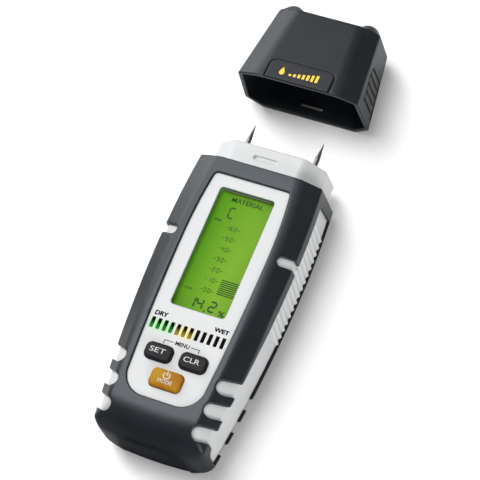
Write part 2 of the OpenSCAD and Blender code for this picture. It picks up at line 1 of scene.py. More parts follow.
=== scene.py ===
"""Two-pin moisture meter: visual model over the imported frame. Sizes are in mm, times MM for Blender."""
import math

import bmesh
import bpy
import numpy as np
from mathutils import Matrix, Vector


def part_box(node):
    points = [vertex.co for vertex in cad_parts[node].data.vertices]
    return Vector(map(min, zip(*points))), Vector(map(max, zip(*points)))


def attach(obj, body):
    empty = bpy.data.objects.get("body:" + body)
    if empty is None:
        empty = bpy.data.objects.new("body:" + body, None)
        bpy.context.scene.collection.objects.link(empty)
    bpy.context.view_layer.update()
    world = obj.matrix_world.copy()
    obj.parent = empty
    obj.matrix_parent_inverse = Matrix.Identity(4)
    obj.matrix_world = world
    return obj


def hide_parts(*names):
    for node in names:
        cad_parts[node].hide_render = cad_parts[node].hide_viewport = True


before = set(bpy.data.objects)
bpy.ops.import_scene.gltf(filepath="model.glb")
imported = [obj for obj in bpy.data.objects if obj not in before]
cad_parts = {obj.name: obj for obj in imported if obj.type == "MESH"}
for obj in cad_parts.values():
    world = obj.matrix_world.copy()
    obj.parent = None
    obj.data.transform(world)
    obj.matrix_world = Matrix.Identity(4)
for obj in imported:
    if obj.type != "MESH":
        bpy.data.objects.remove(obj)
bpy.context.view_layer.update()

MM = 0.001


def box_mm(node):
    """Lowest and highest corner of a CAD node, in millimetres."""
    low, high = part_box(node)
    return np.array(low) / MM, np.array(high) / MM


def add_object(name, data):
    obj = bpy.data.objects.new(name, data)
    bpy.context.scene.collection.objects.link(obj)
    return obj


def points_of(obj):
    """The piece's points in millimetres."""
    return np.array([v.co for v in obj.data.vertices]) / MM


def move_points(obj, points):
    """Puts the piece's points at new places, in millimetres."""
    obj.data.vertices.foreach_set("co", (points * MM).ravel())
    obj.data.update()


# ---- Dimensions from the frame ----
boot_low, boot_high = box_mm("front_boot")
head_low, head_high = box_mm("probe_head")
cap_low, cap_high = box_mm("cap_shell")
window_low, window_high = box_mm("display_window")
cover_low, cover_high = box_mm("battery_cover")

TOP_Y, END_Y = boot_high[1], boot_low[1]
RIM_Z = boot_high[2]
WIDEST = box_mm("back_boot")[1][0]
WIDEST_Y = 25.0
PANEL_Z = box_mm("red_bars")[1][2] - 0.05
WALL = 1.2
SEAM_Z = boot_low[2]

# ---- Distance fields ----
# A field is negative inside the solid. Most edges between two surfaces get a fillet.


def both(a, b, r):
    """Intersection of two fields with an edge radius r."""
    return np.minimum(np.maximum(a, b), -r) + np.hypot(np.maximum(a + r, 0), np.maximum(b + r, 0))


def either(a, b, r):
    """Union of two fields with a fillet of radius r."""
    return -both(-a, -b, r)


def cut(a, b, r):
    """Field a with b taken away and the new edge rounded."""
    return both(a, -b, r)


def box_field(x, y, z, low, high, r):
    """A box with rounded edges."""
    sides = [np.abs(v - (a + b) / 2) - (b - a) / 2 for v, a, b in zip((x, y, z), low, high)]
    return both(both(sides[0], sides[1], r), sides[2], r)


def plate_field(x, y, half_x, half_y, r):
    """Distance to a rounded rectangle in plan."""
    dx = np.abs(x) - half_x + r
    dy = np.abs(y) - half_y + r
    return np.hypot(np.maximum(dx, 0), np.maximum(dy, 0)) + np.minimum(np.maximum(dx, dy), 0) - r


def row_offset(along, pitch, count):
    """Distance along a row to the nearest of its evenly spaced pieces."""
    return along - np.clip(np.round(along / pitch), 0, count - 1) * pitch


def line_field(p, q, corner_a, corner_b):
    """Signed distance to the straight line through two corners, positive on its left."""
    run, rise = corner_b[0] - corner_a[0], corner_b[1] - corner_a[1]
    return ((p - corner_a[0]) * -rise + (q - corner_a[1]) * run) / np.hypot(run, rise)


def section_field(x, z, corners, r):
    """The eight-cornered section, from its four corners on the +X side, front to back."""
    front, high, low, back = corners
    ax = np.abs(x)
    wall = -line_field(ax, z, low, high)
    front_chamfer = -line_field(ax, z, high, front)
    back_chamfer = -line_field(ax, z, back, low)
    walls = both(both(wall, front_chamfer, r), back_chamfer, r)
    return both(both(walls, z - front[1], r), back[1] - z, r * 0.6)


# How far each corner of a section moves sideways or in height per millimetre of wall.
FRONT_IN, HIGH_IN, LOW_IN, BACK_IN = 0.35, 0.48, 0.45, 0.4


def set_in(front, high, low, back, inset):
    """The section's four corners, moved in by a wall of this thickness."""
    return ((front[0] - FRONT_IN * inset, front[1] - inset), (high[0] - inset, high[1] - HIGH_IN * inset),
            (low[0] - inset, low[1] + LOW_IN * inset), (back[0] - BACK_IN * inset, back[1] + inset))


# ---- Body form ----
HEAD_TAPER = 0.00147
BASE_TAPER = 0.00085
EDGE_WIDTH = 5.5
EDGE_FLARE = 0.04
CORNER_R = 4.0
FRONT_CORNER_R = 2.5
END_BOW = 1.0
BOW_HALF = 18.3
NOSE_R = 14.0
BACK_LIFT = 3.0
BACK_CHAMFER = 7.0
SIDE_TOP = 26.5
SIDE_DRAFT = 0.95
EDGE_DROP = 2.5
CLAWS_END_Y = -32
LEAN_FULL_Y = 2
SIDE_BOTTOM = 5.5


def side_half(y):
    """Half width of the boot at station y."""
    taper = np.where(y > WIDEST_Y, HEAD_TAPER, BASE_TAPER)
    return WIDEST - taper * (y - WIDEST_Y) ** 2


def edge_share(y):
    """0 along the claws, 1 from the middle to the head, where the side walls lean in and reach higher."""
    return np.clip((y - CLAWS_END_Y) / (LEAN_FULL_Y - CLAWS_END_Y), 0, 1)


def wall_half(y, z):
    """Half width of the boot's leaning side wall."""
    height = np.clip((z - SIDE_BOTTOM) / (SIDE_TOP - SIDE_BOTTOM), 0, 1)
    return side_half(y) - SIDE_DRAFT * edge_share(y) * height


def front_half(y):
    """Half width of the flat front at station y."""
    return side_half(y) - EDGE_WIDTH - EDGE_FLARE * (y - END_Y - 10)


def body_field(x, y, z, inset, top=TOP_Y, r=0.8):
    """The meter's body, set in by inset from the boot's surface."""
    s = np.clip(y - inset, END_Y, TOP_Y)
    ax = np.abs(x)
    share, half = edge_share(s), side_half(s)
    front, high, low, back = set_in(
        (front_half(s), RIM_Z), (half - SIDE_DRAFT * share, SIDE_TOP - EDGE_DROP * (1 - share)),
        (half, SIDE_BOTTOM), (half - BACK_CHAMFER, 0), inset)
    end = END_Y + inset + END_BOW * (x / BOW_HALF) ** 2 - y
    side = both(-line_field(ax, z, low, high), end, CORNER_R)
    top_face = both(z - front[1], end, NOSE_R)
    front_chamfer = both(-line_field(ax, z, high, front), end, FRONT_CORNER_R)
    back_chamfer = both(-line_field(ax, z, back, low), end, CORNER_R)
    bottom = np.maximum(inset - z, (inset - z + END_Y + inset + BACK_LIFT - y) * math.sqrt(0.5))
    shape = both(both(side, front_chamfer, r * 0.7), back_chamfer, r)
    shape = both(both(shape, top_face, r * 1.4), bottom, r * 0.6)
    return both(shape, y - top, 0.5)


# ---- Meshing ----


def surface_net(field, low, high, cell):
    """Quads of the field's zero level: one vertex in each crossed cell, moved onto the surface."""
    axes = [np.arange(a - 1.5 * cell, b + 2.5 * cell, cell, dtype=np.float32) for a, b in zip(low, high)]
    shape = [len(a) for a in axes]
    x, y, z = axes[0][:, None, None], axes[1][None, :, None], axes[2][None, None, :]
    value = np.broadcast_to(field(x, y, z), shape).astype(np.float32)
    inside = value < 0
    total = np.zeros([n - 1 for n in shape] + [3], np.float32)
    count = np.zeros([n - 1 for n in shape], np.uint8)
    crossings = []
    for axis in range(3):
        lo = [slice(None)] * 3
        hi = [slice(None)] * 3
        lo[axis], hi[axis] = slice(None, -1), slice(1, None)
        a, b = value[tuple(lo)], value[tuple(hi)]
        at = np.argwhere(inside[tuple(lo)] != inside[tuple(hi)])
        fa, fb = a[tuple(at.T)], b[tuple(at.T)]
        point = at.astype(np.float32)
        point[:, axis] += fa / (fa - fb)
        crossings.append((at, fa < 0))
        others = [k for k in range(3) if k != axis]
        for di in (0, 1):
            for dj in (0, 1):
                cells = at.copy()
                cells[:, others[0]] -= di
                cells[:, others[1]] -= dj
                ok = ((cells >= 0) & (cells < np.array(count.shape))).all(1)
                np.add.at(total, tuple(cells[ok].T), point[ok])
                np.add.at(count, tuple(cells[ok].T), 1)
    used = np.argwhere(count > 0)
    number = np.full(count.shape, -1, np.int64)
    number[tuple(used.T)] = np.arange(len(used))
    origin = np.array([a[0] for a in axes])
    points = total[tuple(used.T)] / count[tuple(used.T)][:, None] * cell + origin
    points = onto_surface(field, points, cell)
    quads = []
    for axis, (at, starts_inside) in enumerate(crossings):
        j, k = [(1, 2), (2, 0), (0, 1)][axis]
        ring = []
        for dj, dk in ((0, 0), (1, 0), (1, 1), (0, 1)):
            cells = at.copy()
            cells[:, j] -= dj
            cells[:, k] -= dk
            ring.append(number[tuple(cells.T)])
        ring = np.stack(ring, 1)
        ring[~starts_inside] = ring[~starts_inside][:, ::-1]
        quads.append(ring)
    return points, np.concatenate(quads)


def onto_surface(field, points, cell):
    """Moves points along the field's slope to its zero level, by less than a cell."""
    step = cell * 0.25
    for _ in range(2):
        x, y, z = points.T
        here = field(x, y, z)
        slope = np.stack([
            field(x + step, y, z) - field(x - step, y, z),
            field(x, y + step, z) - field(x, y - step, z),
            field(x, y, z + step) - field(x, y, z - step)], 1) / (2 * step)
        size = np.maximum((slope ** 2).sum(1), 0.25)
        move = np.clip(-here / size, -cell * 0.5, cell * 0.5)
        points = points + slope * move[:, None] / np.maximum(np.sqrt(size), 1)[:, None]
    return points


def smooth_object(name, points, faces):
    """A smooth-shaded mesh object from points in millimetres."""
    mesh = bpy.data.meshes.new(name)
    mesh.from_pydata((np.asarray(points, float) * MM).tolist(), [], np.asarray(faces).tolist())
    mesh.validate()
    mesh.update()
    mesh.polygons.foreach_set("use_smooth", [True] * len(mesh.polygons))
    return add_object(name, mesh)


def solid(name, field, low, high, cell, keep=1.0):
    """A piece meshed from its field, thinned to a share of its triangles."""
    size = cell * 1.0
    obj = smooth_object(name, *surface_net(field, low, high, size))
    if keep < 1:
        thin = obj.modifiers.new("thin", "DECIMATE")
        thin.ratio = keep
    obj.modifiers.new("normals", "WEIGHTED_NORMAL").keep_sharp = False
    return obj


def place(obj, body, material, slot, *nodes):
    """Gives a piece its material and its body, and hides the CAD nodes that it stands for."""
    obj.data.materials.clear()
    obj.data.materials.append(material)
    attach(obj, body)
    if nodes:
        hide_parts(*nodes)
    return obj


# ---- Materials ----


def parts_of(material):
    """A material's nodes, links and surface shader."""
    tree = material.node_tree
    return tree.nodes, tree.links, tree.nodes["Principled BSDF"]


def tree_of(name):
    material = bpy.data.materials.new(name)
    material.use_nodes = True
    return (material, *parts_of(material))


def noise_of(nodes, links, coords, scale, detail=3.0, stretch=(1, 1, 1)):
    """A noise in millimetres: scale is grains per millimetre."""
    mapping = nodes.new("ShaderNodeMapping")
    mapping.inputs["Scale"].default_value = [s * scale / MM for s in stretch]
    links.new(coords.outputs["Object"], mapping.inputs["Vector"])
    noise = nodes.new("ShaderNodeTexNoise")
    noise.inputs["Scale"].default_value = 1.0
    noise.inputs["Detail"].default_value = detail
    links.new(mapping.outputs["Vector"], noise.inputs["Vector"])
    return noise.outputs["Fac"]


def axes_of(nodes, links, coords):
    """Separate X, Y and Z of a place on the piece."""
    split = nodes.new("ShaderNodeSeparateXYZ")
    links.new(coords.outputs["Object"], split.inputs["Vector"])
    return split.outputs


def ramp_of(nodes, links, source, low, high, start=0.3, stop=0.7):
    ramp = nodes.new("ShaderNodeValToRGB")
    ramp.color_ramp.elements[0].position = start
    ramp.color_ramp.elements[1].position = stop
    ramp.color_ramp.elements[0].color = (*low, 1)
    ramp.color_ramp.elements[1].color = (*high, 1)
    links.new(source, ramp.inputs["Fac"])
    return ramp.outputs["Color"]


def range_of(nodes, links, source, low, high, start=0.3, stop=0.7):
    span = nodes.new("ShaderNodeMapRange")
    span.inputs["From Min"].default_value = start
    span.inputs["From Max"].default_value = stop
    span.inputs["To Min"].default_value = low
    span.inputs["To Max"].default_value = high
    links.new(source, span.inputs["Value"])
    return span.outputs["Result"]


def moulded(name, dark, light, rough, grain=5.0, depth=0.01, patch=0.08, stretch=(1, 1, 1), **extra):
    """Moulded, painted or ground surface: mottled colour, uneven gloss and a fine grain."""
    material, nodes, links, shader = tree_of(name)
    coords = nodes.new("ShaderNodeTexCoord")
    clouds = noise_of(nodes, links, coords, patch, 4.0, stretch)
    fine = noise_of(nodes, links, coords, grain, 2.0, stretch)
    colour = ramp_of(nodes, links, clouds, dark, light)
    links.new(colour, shader.inputs["Base Color"])
    gloss = range_of(nodes, links, fine, rough - 0.05, rough + 0.06)
    links.new(gloss, shader.inputs["Roughness"])
    bump = nodes.new("ShaderNodeBump")
    bump.inputs["Strength"].default_value = 1.0
    bump.inputs["Distance"].default_value = depth * MM
    links.new(fine, bump.inputs["Height"])
    links.new(bump.outputs["Normal"], shader.inputs["Normal"])
    for socket, value in extra.items():
        shader.inputs[socket.replace("_", " ")].default_value = value
    return material


def grey(v, tint=0.0):
    return (v, v * (1 + tint * 0.5), v * (1 + tint))


white_plastic = moulded("white_plastic", grey(0.47, 0.02), grey(0.53, 0.025), 0.42, grain=4, depth=0.008,
                        patch=0.03)
boot_rubber = moulded("boot_rubber", (0.0045, 0.0055, 0.0075), (0.0075, 0.009, 0.012), 0.4, depth=0.012,
                      Specular_Tint=(0.86, 0.94, 1.0, 1))
cap_plastic = moulded("cap_plastic", (0.0045, 0.0055, 0.007), (0.0075, 0.009, 0.0115), 0.42, grain=3,
                      depth=0.02, Specular_IOR_Level=0.32, Specular_Tint=(0.88, 0.95, 1.0, 1))
badge_plastic = moulded("badge_plastic", (0.006, 0.0065, 0.009), (0.009, 0.01, 0.0125), 0.42,
                        Specular_IOR_Level=0.3)
# A grey much lighter than the cap's black, used for the cap's catch rib.
pale_grey_plastic = moulded("pale_grey_plastic", (0.07, 0.07, 0.075), (0.12, 0.12, 0.13), 0.4)
key_rubber = moulded("key_rubber", (0.007, 0.0075, 0.009), (0.011, 0.0115, 0.014), 0.42, depth=0.012,
                     Specular_IOR_Level=0.1)
amber = moulded("amber", (0.27, 0.08, 0.001), (0.37, 0.20, 0.004), 0.4, grain=3, depth=0.006, patch=0.12,
                Specular_IOR_Level=0.08)
pin_steel = moulded("pin_steel", grey(0.10, 0.02), grey(0.20, 0.02), 0.34, grain=8, stretch=(1, 0.06, 1),
                    Metallic=1.0)
brass = moulded("brass", (0.52, 0.33, 0.10), (0.64, 0.43, 0.16), 0.3, grain=6, Metallic=1.0)
screw_steel = moulded("screw_steel", grey(0.22, 0.03), grey(0.36, 0.03), 0.35, depth=0.02, Metallic=1.0)
black_plastic = moulded("black_plastic", grey(0.012), grey(0.022), 0.45, grain=4, depth=0.02)
clear_led = moulded("clear_led", (0.7, 0.66, 0.4), (0.85, 0.8, 0.55), 0.15, grain=3, depth=0.005)
cream_plastic = moulded("cream_plastic", (0.62, 0.59, 0.48), (0.7, 0.67, 0.56), 0.4, grain=4)
red_wire = moulded("red_wire", (0.42, 0.012, 0.01), (0.52, 0.02, 0.016), 0.4, grain=4)
grey_gasket = moulded("grey_gasket", grey(0.05), grey(0.08), 0.7, depth=0.03)
foam = moulded("foam", grey(0.03), grey(0.07), 0.95, grain=2.2, depth=0.15)
battery_skin = moulded("battery_skin", (0.02, 0.03, 0.06), (0.03, 0.045, 0.08), 0.28, grain=1, Metallic=0.5)
nickel = moulded("nickel", grey(0.55), grey(0.68), 0.18, depth=0.006, Metallic=1.0)
foil = moulded("foil", grey(0.40, 0.01), grey(0.48, 0.01), 0.38, grain=6, depth=0.008, stretch=(0.05, 1, 1),
               Metallic=1.0)
print_dark = moulded("print_dark", grey(0.003), grey(0.006), 0.5, depth=0.005, Specular_IOR_Level=0.0)
print_white = moulded("print_white", grey(0.48), grey(0.58), 0.5, depth=0.005)
print_yellow = moulded("print_yellow", (0.80, 0.50, 0.02), (0.9, 0.6, 0.03), 0.45, depth=0.005)
segment_ink = moulded("segment_ink", (0.02, 0.06, 0.012), (0.035, 0.09, 0.02), 0.5, grain=3, depth=0.002,
                      Specular_IOR_Level=0.02)
capacitor_body = moulded("capacitor_body", (0.30, 0.2, 0.1), (0.42, 0.3, 0.16), 0.4, grain=3)


def make_board_material():
    """Solder mask with a faint pattern of tracks."""
    material, nodes, links, shader = tree_of("board")
    coords = nodes.new("ShaderNodeTexCoord")
    mapping = nodes.new("ShaderNodeMapping")
    mapping.inputs["Scale"].default_value = [1 / (3 * MM)] * 3
    links.new(coords.outputs["Object"], mapping.inputs["Vector"])
    bricks = nodes.new("ShaderNodeTexBrick")
    bricks.inputs["Scale"].default_value = 1.0
    bricks.inputs["Mortar Size"].default_value = 0.06
    bricks.inputs["Color1"].default_value = (0.008, 0.09, 0.03, 1)
    bricks.inputs["Color2"].default_value = (0.012, 0.11, 0.04, 1)
    bricks.inputs["Mortar"].default_value = (0.03, 0.2, 0.08, 1)
    links.new(mapping.outputs["Vector"], bricks.inputs["Vector"])
    links.new(bricks.outputs["Color"], shader.inputs["Base Color"])
    bump = nodes.new("ShaderNodeBump")
    bump.inputs["Distance"].default_value = 0.02 * MM
    links.new(bricks.outputs["Fac"], bump.inputs["Height"])
    links.new(bump.outputs["Normal"], shader.inputs["Normal"])
    shader.inputs["Roughness"].default_value = 0.25
    return material


def matt_towards_end(material):
    """Rubber almost without gloss towards the bottom end: painted shade that darkens the nose."""
    nodes, links, shader = parts_of(material)
    y = axes_of(nodes, links, nodes["Texture Coordinate"])["Y"]
    gloss = range_of(nodes, links, y, 0.004, 0.42, -60 * MM, -53 * MM)
    links.new(gloss, shader.inputs["Specular IOR Level"])


matt_towards_end(boot_rubber)


def make_display_material():
    """The lit cell: brightest at its lower right, deeper green to the left and towards its top."""
    material, nodes, links, shader = tree_of("display_cell")
    coords = nodes.new("ShaderNodeTexCoord")
    at = axes_of(nodes, links, coords)
    across = range_of(nodes, links, at["X"], 0.0, 1.0, -12 * MM, 9 * MM)
    along = range_of(nodes, links, at["Y"], 1.0, 0.45, 10 * MM, 47 * MM)
    cloud = noise_of(nodes, links, coords, 0.06, 2.0)
    mixed = product_of(nodes, links, across, along)
    colour = ramp_of(nodes, links, mottled(nodes, links, cloud, 0.3, mixed), (0.062, 0.215, 0.002),
                     (0.15, 0.31, 0.02), 0.1, 0.85)
    light_up(links, shader, colour, 0.35)
    shader.inputs["Specular IOR Level"].default_value = 0.02
    return material


def product_of(nodes, links, *sources):
    """Multiplies several scalar outputs."""
    result = sources[0]
    for source in sources[1:]:
        times = nodes.new("ShaderNodeMath")
        times.operation = "MULTIPLY"
        links.new(result, times.inputs[0])
        links.new(source, times.inputs[1])
        result = times.outputs["Value"]
    return result


def mottled(nodes, links, noise, amount, source):
    """A scalar output with an amount of noise added."""
    added = nodes.new("ShaderNodeMath")
    added.operation = "MULTIPLY_ADD"
    added.inputs[1].default_value = amount
    links.new(noise, added.inputs[0])
    links.new(source, added.inputs[2])
    return added.outputs["Value"]


def light_up(links, shader, colour, strength):
    """Colours a surface and makes it glow in the same colour."""
    links.new(colour, shader.inputs["Base Color"])
    links.new(colour, shader.inputs["Emission Color"])
    shader.inputs["Emission Strength"].default_value = strength
    shader.inputs["Roughness"].default_value = 0.5


def make_panel_material():
    """White plastic that takes on green and yellow light beside the lit bars."""
    material = moulded("panel_plastic", grey(0.48, 0.02), grey(0.53, 0.025), 0.45, grain=4, depth=0.006,
                       patch=0.03)
    nodes, links, shader = parts_of(material)
    at = axes_of(nodes, links, nodes["Texture Coordinate"])
    x, y = at["X"], at["Y"]
    lit = product_of(
        nodes, links,
        range_of(nodes, links, x, 0, 1, -17.6 * MM, -15.4 * MM),
        range_of(nodes, links, x, 1, 0, 2.0 * MM, 3.6 * MM),
        range_of(nodes, links, y, 0, 1, -18.6 * MM, -15.6 * MM),
        range_of(nodes, links, y, 1, 0, -13.6 * MM, -11.6 * MM))
    side = range_of(nodes, links, x, -1, 1, -6.4 * MM, -4.4 * MM)
    signed = product_of(nodes, links, lit, side)
    # Painted light: green spill beside the green bars and yellow beside the yellow ones, painted into the
    # white plastic's colour.
    tint = nodes.new("ShaderNodeValToRGB")
    ramp = tint.color_ramp
    ramp.elements[0].color = (0.30, 0.60, 0.28, 1)
    ramp.elements[1].color = (0.62, 0.53, 0.20, 1)
    middle = ramp.elements.new(0.5)
    middle.color = (*grey(0.51, 0.022), 1)
    links.new(range_of(nodes, links, signed, 0, 1, -1, 1), tint.inputs["Fac"])
    links.new(tint.outputs["Color"], shader.inputs["Base Color"])
    return material


def make_bar_material(name, dark, light, strength):
    """A light pipe lit from its lower end, dark at its upper end."""
    material, nodes, links, shader = tree_of(name)
    coords = nodes.new("ShaderNodeTexCoord")
    y = axes_of(nodes, links, coords)["Y"]
    along = range_of(nodes, links, y, 1, 0, -16.6 * MM, -12.6 * MM)
    fine = noise_of(nodes, links, coords, 1.2, 2.0)
    share = mottled(nodes, links, fine, 0.15, along)
    light_up(links, shader, ramp_of(nodes, links, share, dark, light, 0.35, 1.05), strength)
    shader.inputs["Specular IOR Level"].default_value = 0.0
    return material


def make_window_material():
    """Clear acrylic: nearly invisible but for its gloss."""
    material, nodes, links, shader = tree_of("clear_window")
    coords = nodes.new("ShaderNodeTexCoord")
    haze = noise_of(nodes, links, coords, 0.3, 2.0)
    gloss = range_of(nodes, links, haze, 0.14, 0.2)
    links.new(gloss, shader.inputs["Roughness"])
    shader.inputs["Base Color"].default_value = (0.02, 0.06, 0.02, 1)
    shader.inputs["Alpha"].default_value = 0.05
    shader.inputs["Specular IOR Level"].default_value = 0.1
    shader.inputs["IOR"].default_value = 1.49
    return material


def glow(name, dark, light, strength):
    """A tinted light pipe that glows in its own mottled colour."""
    material = moulded(name, dark, light, 0.2, grain=2, depth=0.004, patch=0.5)
    _, links, shader = parts_of(material)
    links.new(shader.inputs["Base Color"].links[0].from_socket, shader.inputs["Emission Color"])
    shader.inputs["Emission Strength"].default_value = strength
    return material


board_mask = make_board_material()
display_cell = make_display_material()
clear_window = make_window_material()
backlight_glow = glow("backlight", (0.4, 0.8, 0.1), (0.5, 0.9, 0.2), 0.5)
bar_green = make_bar_material("bar_green", (0.001, 0.006, 0.001), (0.018, 0.17, 0.02), 0.3)
bar_yellow = make_bar_material("bar_yellow", (0.004, 0.003, 0.0005), (0.24, 0.18, 0.02), 0.3)
panel_plastic = make_panel_material()
# Dark green for the display rim: painted light and shade, the recess wall round the window lit green by the
# backlight and partly in shadow.
backlit_rim_paint = moulded("backlit_rim_paint", (0.02, 0.10, 0.008), (0.035, 0.15, 0.012), 0.3, grain=4, depth=0.004)
bar_dark = moulded("bar_dark", grey(0.003), grey(0.006), 0.5, grain=3, depth=0.004, Specular_IOR_Level=0.0)

# ---- Panel outline and boot openings, in plan ----
PANEL_TOP = 53.0
PANEL_BOTTOM = -44.0
PANEL_R = 9.5
PANEL_TOP_R = 1.6
PANEL_HALF = 18.2
CLAW_Y = [-27.5 - i * 10.2 for i in range(3)]
CLAW_R = 2.7
CLAW_DEPTH = 7.6
CLAW_DROOP = 3.3
BACK_CLAW_DEPTH = 3.4
SLOT_Z = 14.2
NOTCH_Y = 26.0
NOTCH_R = 1.9
NOTCH_DROOP = 1.0
STRIP_Z0 = 4.0
STRIP_Z1 = 21.4
CLAW_STRIP_RISE = 2.0
STRIP_X = 14.0
STRIP_TOP = 54.6
STRIP_END = -55.0


def panel_half(y):
    taper = np.where(y > WIDEST_Y, 0.0026, 0.0005)
    return PANEL_HALF - taper * (y - WIDEST_Y) ** 2


def panel_field(x, y, grow):
    sides = np.abs(x) - panel_half(y) - grow
    return both(both(sides, y - PANEL_TOP - grow, PANEL_TOP_R), PANEL_BOTTOM - grow - y, PANEL_R)


def slot_field(x, y, at_y, r, depth, droop):
    """A round-ended slot that runs out of the side and droops towards its inner end."""
    tip_x, tip_y = side_half(np.float64(at_y)) - depth + r, at_y - droop
    length = math.hypot(depth, droop)
    ux, uy = depth / length, droop / length
    px, py = np.abs(x) - tip_x, y - tip_y
    u, v = px * ux + py * uy, py * ux - px * uy
    return np.hypot(np.minimum(u, 0), v) - r


def all_slots(x, y):
    field = slot_field(x, y, NOTCH_Y, NOTCH_R, CLAW_DEPTH, NOTCH_DROOP)
    for at_y in CLAW_Y:
        field = np.minimum(field, slot_field(x, y, at_y, CLAW_R, CLAW_DEPTH, CLAW_DROOP))
    return field


def window_field(y, z):
    """The opening along the side wall that bares the white strip."""
    slant = (y - STRIP_TOP) + (z - 15) * 0.04
    nose = line_field(y, z, (STRIP_END - 1, 16.7), (STRIP_END + 9, STRIP_Z1 + 2.2))
    edge = STRIP_Z1 + CLAW_STRIP_RISE * (1 - edge_share(y))
    strip = both(both(slant, STRIP_END - y, 2.5), z - edge, 1.4)
    return both(both(strip, nose, 3.0), STRIP_Z0 - z, 0.1)


# ---- Boots ----


def boot_wall(x, y, z):
    """The whole boot, just thinner than its wall so that it clears the case inside."""
    return cut(body_field(x, y, z, 0), body_field(x, y, z, WALL - 0.05, TOP_Y + 3), 0.25)


def front_boot_field(x, y, z):
    shell = both(boot_wall(x, y, z), SEAM_Z - z, 0.3)
    shell = cut(shell, both(panel_field(x, y, 0.25), 18 - z, 0.1), 0.35)
    shell = cut(shell, both(window_field(y, z), STRIP_X - np.abs(x), 0.1), 0.4)
    return cut(shell, both(all_slots(x, y), SLOT_Z - z, 0.1), 0.3)


COVER_LIP = 1.2
COVER_PLAY = 0.25
cover_half = cover_high[0] - COVER_LIP
plate_low, plate_high = box_mm("rating_plate")
screw_low, screw_high = box_mm("case_screws")
SCREW_R = 2.4
SCREW_HOLE_R = 3.0
LOWER_SCREW_X = 18.6
upper_screw_x = screw_high[0] - SCREW_R


def screw_field(x, y):
    """The four screw holes, two on each side."""
    upper = np.hypot(np.abs(x) - upper_screw_x, y - screw_high[1] + SCREW_R)
    lower = np.hypot(np.abs(x) - LOWER_SCREW_X, y - screw_low[1] - SCREW_R)
    return np.minimum(upper, lower) - SCREW_HOLE_R


def back_boot_field(x, y, z):
    shell = both(boot_wall(x, y, z), z - SEAM_Z + 0.1, 0.3)
    claws = np.minimum.reduce([slot_field(x, y, at_y, CLAW_R - 0.2, BACK_CLAW_DEPTH, 0.0) for at_y in CLAW_Y])
    shell = cut(shell, claws, 0.35)
    opening = both(np.abs(x) - cover_half - COVER_PLAY, y - cover_high[1] - COVER_PLAY, 0.8)
    shell = cut(shell, both(opening, z - cover_high[2] - 0.3, 0.2), 0.3)
    shell = cut(shell, screw_field(x, y), 0.3)
    plate_mid = (plate_low[1] + plate_high[1]) / 2
    plate = plate_field(x, y - plate_mid, plate_high[0] + 0.3, (plate_high[1] - plate_low[1]) / 2 + 0.3, 2.3)
    return cut(shell, both(plate, z - plate_high[2], 0.05), 0.2)


seam_low = (-WIDEST, END_Y, SEAM_Z)
seam_high = (WIDEST, TOP_Y, SEAM_Z)
body_high = (WIDEST, TOP_Y, RIM_Z)
front_boot = solid("front_boot_skin", front_boot_field, seam_low, body_high, 0.42, 0.45)
place(front_boot, "meter", boot_rubber, "boot_rubber", "front_boot")
back_boot = solid("back_boot_skin", back_boot_field, (-WIDEST, END_Y, 0), seam_high, 0.36, 0.5)
place(back_boot, "meter", boot_rubber, "boot_rubber", "back_boot")

# ---- White case ----
RIB_PITCH = 3.1
RIB_COUNT = 16
RIB_FIRST = -0.5
RIB_LEAN = 2.2
RIB_R = 0.8
SHELL_WALL = 2.0


def ribs_field(x, y, z):
    """Slanted ribs along both side strips, one cylinder each."""
    low, high = SEAM_Z + 0.2, STRIP_Z1 - 0.4
    along = y - RIB_FIRST - RIB_LEAN * ((z - low) / (high - low))
    aside = np.abs(x) - wall_half(y, z) + WALL + 0.1
    rod = np.hypot(row_offset(along, RIB_PITCH, RIB_COUNT), aside) - RIB_R
    return both(both(rod, z - high, 0.5), low - z, 0.2)


def case_field(x, y, z):
    shell = cut(body_field(x, y, z, WALL), body_field(x, y, z, WALL + SHELL_WALL, TOP_Y + 3), 0.2)
    shell = both(shell, SEAM_Z + 0.2 - z, 0.2)
    shell = either(shell, ribs_field(x, y, z), 0.3)
    return cut(shell, both(panel_field(x, y, -0.6), 20 - z, 0.1), 0.2)


case = solid("front_case_walls", case_field, seam_low, body_high, 0.42, 0.45)
place(case, "meter", white_plastic, "case_white", "front_shell")

# ---- Probe head and pins ----
pin_low, pin_high = box_mm("probe_pin_right")
PIN_X, PIN_Z = (pin_low[0] + pin_high[0]) / 2, (pin_low[2] + pin_high[2]) / 2
HEAD_BACK, HEAD_TIP = head_low[1], head_high[1]
HEAD_FRONT_HALF = 15.6
HEAD_BACK_CHAMFER = 5.3
HEAD_SIDE_TOP = 20.1
HEAD_SIDE_BOTTOM = 6.9
HEAD_WALL = 1.8
HEAD_END_WALL = 2.4
HEAD_DRAFT = 0.85
SLEEVE_R = 4.6
SOCKET_R = 3.02
PIN_HOLE_R = 1.6
DIMPLE_X = -4.4
DIMPLE_R = 0.8
CATCH_HALF = 5.0
CATCH_Y = 64.8


def head_corners(inset):
    half = head_high[0]
    return set_in((HEAD_FRONT_HALF, head_high[2]), (half - HEAD_DRAFT, HEAD_SIDE_TOP),
                  (half, HEAD_SIDE_BOTTOM), (half - HEAD_BACK_CHAMFER, head_low[2]), inset)


